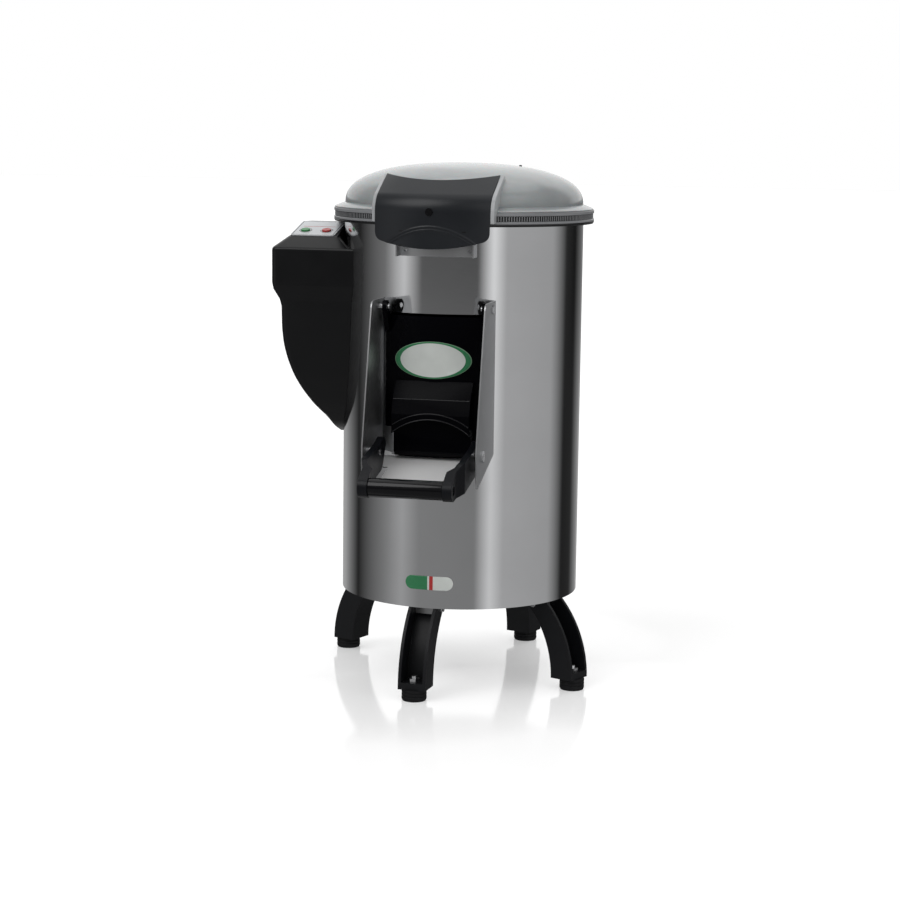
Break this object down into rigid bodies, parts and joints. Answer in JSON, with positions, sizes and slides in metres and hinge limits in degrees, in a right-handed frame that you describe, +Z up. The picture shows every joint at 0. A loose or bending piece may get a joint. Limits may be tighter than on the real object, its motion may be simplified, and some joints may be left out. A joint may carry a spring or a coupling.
{
  "type": "electric potato peeler",
  "caption": "Floor-standing drum peeler with hinged translucent lid, lever-worked discharge door and chute, belt-driven abrasive disc, legs and push-button control box.",
  "frame": {"origin": "on the floor, on the axis of the round body", "axes": "+Z up along the body axis, -Y towards the discharge chute, -X towards the control box"},
  "size_m": [0.5235, 0.632, 0.841],
  "materials": {
    "shell_steel": "brushed, satin",
    "sheet_steel": "rolled sheet, satin",
    "tray_steel": "bright rolled sheet",
    "inner_steel": "plain sheet",
    "turned_steel": "turned and ground",
    "fasteners": "zinc plated",
    "dark_screws": "blackened",
    "lining_grit": "abrasive sheet",
    "disc_grit": "bonded abrasive grains",
    "disc_metal": "cast and turned",
    "leg_plastic": "moulded, fine grain",
    "pad_rubber": "moulded",
    "door_plastic": "moulded, gloss",
    "seal_rubber": "moulded",
    "lever_plastic": "moulded, satin",
    "grip_plastic": "gloss tube",
    "dome_plastic": "translucent moulding",
    "rim_plastic": "moulded, satin",
    "handle_plastic": "moulded, satin",
    "box_plastic": "moulded, fine grain",
    "panel_film": "plain film",
    "green_button": "moulded",
    "red_button": "moulded",
    "plate_face": "plain plate",
    "block_plastic": "moulded",
    "motor_paint": "enamel",
    "cast_parts": "machined casting",
    "belt_rubber": "ribbed"
  },
  "bodies": {
    "root": {"body_shell": "shell_steel", "chute_cheeks": "sheet_steel", "hinge_bracket": "sheet_steel", "catch_bracket": "sheet_steel", "chute_tray": "tray_steel", "base_plate": "inner_steel", "chamber_floor": "inner_steel", "motor_bracket": "inner_steel", "bracket_posts": "inner_steel", "water_inlet": "inner_steel", "drain_pipe": "inner_steel", "shaft_bearings": "turned_steel", "hinge_pins": "turned_steel", "leg_bolts": "fasteners", "foot_studs": "fasteners", "foot_nuts": "fasteners", "housing_bolts": "fasteners", "motor_bolts": "fasteners", "chute_bolts": "fasteners", "chamber_liner": "lining_grit", "front_leg": "leg_plastic", "right_leg": "leg_plastic", "rear_leg": "leg_plastic", "left_leg": "leg_plastic", "foot_pads": "pad_rubber", "shaft_seal": "seal_rubber", "control_box": "box_plastic", "control_panel": "panel_film", "body_badge": "plate_face", "switch_block": "block_plastic", "cable_gland": "block_plastic", "motor_housing": "motor_paint", "terminal_box": "motor_paint", "fan_cover": "motor_paint", "bearing_housing": "cast_parts", "drive_belt": "belt_rubber"},
    "lid": {"lid_dome": "dome_plastic", "lid_rim": "rim_plastic", "lid_gasket": "seal_rubber", "lid_handle": "handle_plastic", "handle_boss": "dome_plastic", "lid_screws": "dark_screws", "lid_hinge_arms": "sheet_steel"},
    "door": {"door_panel": "door_plastic", "door_seal": "seal_rubber", "door_badge": "plate_face"},
    "lever": {"lever_arms": "lever_plastic", "grip_bar": "grip_plastic", "grip_screws": "dark_screws"},
    "disc": {"drive_shaft": "turned_steel", "disc_plate": "disc_metal", "grit_coat": "disc_grit", "disc_knob": "disc_metal", "driven_pulley": "cast_parts", "shaft_nut": "fasteners"},
    "rotor": {"motor_shaft": "turned_steel", "motor_pulley": "cast_parts", "cooling_fan": "block_plastic"},
    "start_button": {"start_button": "green_button"},
    "stop_button": {"stop_button": "red_button"}
  },
  "joints": [
    {"name": "lid_hinge", "type": "hinge", "parent": "root", "child": "lid", "pos_m": [0, 0.232, 0.762], "axis": [-1, 0, 0], "range_deg": [0, 95]},
    {"name": "lever_pivot", "type": "hinge", "parent": "root", "child": "lever", "pos_m": [0, -0.262, 0.399], "axis": [1, 0, 0], "range_deg": [0, 60]},
    {"name": "door_hinge", "type": "hinge", "parent": "root", "child": "door", "pos_m": [0, -0.2, 0.62], "axis": [-1, 0, 0], "range_deg": [0, 20]},
    {"name": "disc_spin", "type": "hinge", "parent": "root", "child": "disc", "pos_m": [0, 0, 0.364], "axis": [0, 0, 1], "continuous": true},
    {"name": "motor_spin", "type": "hinge", "parent": "root", "child": "rotor", "pos_m": [0, 0.118, 0.25], "axis": [0, 0, 1], "continuous": true},
    {"name": "start_press", "type": "slide", "parent": "root", "child": "start_button", "axis": [0, 0.2504, -0.9681], "range_m": [0, 0.002], "stiffness_N_per_m": 400},
    {"name": "stop_press", "type": "slide", "parent": "root", "child": "stop_button", "axis": [0, 0.2504, -0.9681], "range_m": [0, 0.002], "stiffness_N_per_m": 400}
  ],
  "couplings": [
    {"joint": "door_hinge", "follows": "lever_pivot", "ratio": 0.3333},
    {"joint": "motor_spin", "follows": "disc_spin", "ratio": 4.0588}
  ]
}
